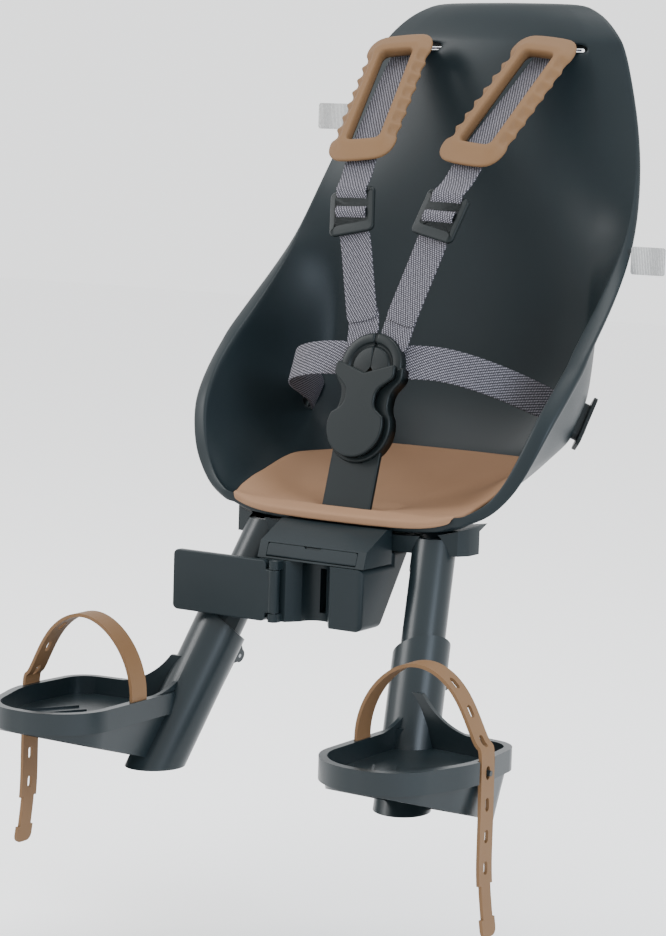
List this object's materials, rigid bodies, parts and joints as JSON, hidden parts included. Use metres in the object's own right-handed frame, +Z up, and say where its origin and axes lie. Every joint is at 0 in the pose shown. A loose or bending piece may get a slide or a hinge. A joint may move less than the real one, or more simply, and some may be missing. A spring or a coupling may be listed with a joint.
{
  "type": "handlebar child bike seat",
  "caption": "Bucket seat for a small child with a harness, padded pan, adjustable foot trays on legs and a lockable bracket block that hangs on a post at the handlebar.",
  "frame": {"origin": "axis of the bracket post in the block's saddle, halfway up", "axes": "+Z up, +X to the viewer's right when looking at the seat's front, the seat faces -Y"},
  "size_m": [0.3884, 0.4168, 0.6157],
  "materials": {
    "shell_plastic": "satin",
    "cushion_foam": "matte",
    "strap_rubber": "matte",
    "webbing": "woven",
    "buckle_plastic": "satin",
    "pin_steel": "brushed",
    "tag_cloth": "matte"
  },
  "bodies": {
    "seat": {"seat_shell": "shell_plastic", "seat_pad": "cushion_foam", "base_frame": "shell_plastic", "base_screws": "pin_steel", "right_leg": "shell_plastic", "left_leg": "shell_plastic", "mount_housing": "shell_plastic", "mount_hood": "shell_plastic", "door_hinge_pin": "pin_steel", "buckle_stalk": "webbing", "buckle_housing": "buckle_plastic", "right_tongue": "buckle_plastic", "left_tongue": "buckle_plastic", "right_chest_webbing": "webbing", "left_chest_webbing": "webbing", "right_waist_webbing": "webbing", "left_waist_webbing": "webbing", "right_shoulder_pad": "strap_rubber", "left_shoulder_pad": "strap_rubber", "right_slider": "buckle_plastic", "left_slider": "buckle_plastic", "right_shoulder_anchor": "buckle_plastic", "left_shoulder_anchor": "buckle_plastic", "right_hip_anchor": "buckle_plastic", "left_hip_anchor": "buckle_plastic", "right_side_tag": "tag_cloth", "left_side_tag": "tag_cloth"},
    "door": {"lock_door": "shell_plastic"},
    "hatch": {"hatch_lid": "shell_plastic"},
    "right_foot": {"right_footrest": "shell_plastic", "right_lever_pin": "pin_steel", "right_foot_strap": "strap_rubber"},
    "left_foot": {"left_footrest": "shell_plastic", "left_lever_pin": "pin_steel", "left_foot_strap": "strap_rubber"},
    "right_lever": {"right_height_lever": "buckle_plastic"},
    "left_lever": {"left_height_lever": "buckle_plastic"},
    "button": {"buckle_button": "buckle_plastic"}
  },
  "joints": [
    {"name": "door_swing", "type": "hinge", "parent": "seat", "child": "door", "pos_m": [-0.025, -0.0145, 0], "axis": [0, 0, 1], "range_deg": [0, 180]},
    {"name": "hatch_swing", "type": "hinge", "parent": "seat", "child": "hatch", "pos_m": [0, -0.00583, 0.02412], "axis": [1, 0, 0], "range_deg": [0, 80]},
    {"name": "right_foot_height", "type": "slide", "parent": "seat", "child": "right_foot", "axis": [-0.1719, 0.4625, 0.8698], "range_m": [-0.062, 0.031]},
    {"name": "left_foot_height", "type": "slide", "parent": "seat", "child": "left_foot", "axis": [0.1719, 0.4625, 0.8698], "range_m": [-0.062, 0.031]},
    {"name": "right_lever_press", "type": "hinge", "parent": "right_foot", "child": "right_lever", "pos_m": [0.08588, 0.02348, -0.0571], "axis": [0.9851, 0.0807, 0.1518], "range_deg": [0, 20], "stiffness_Nm_per_rad": 0.3},
    {"name": "left_lever_press", "type": "hinge", "parent": "left_foot", "child": "left_lever", "pos_m": [-0.08588, 0.02348, -0.0571], "axis": [0.9851, -0.0807, -0.1518], "range_deg": [0, 20], "stiffness_Nm_per_rad": 0.3},
    {"name": "button_press", "type": "slide", "parent": "seat", "child": "button", "axis": [0, 0.9548, -0.2974], "range_m": [0, 0.0025], "stiffness_N_per_m": 800}
  ]
}
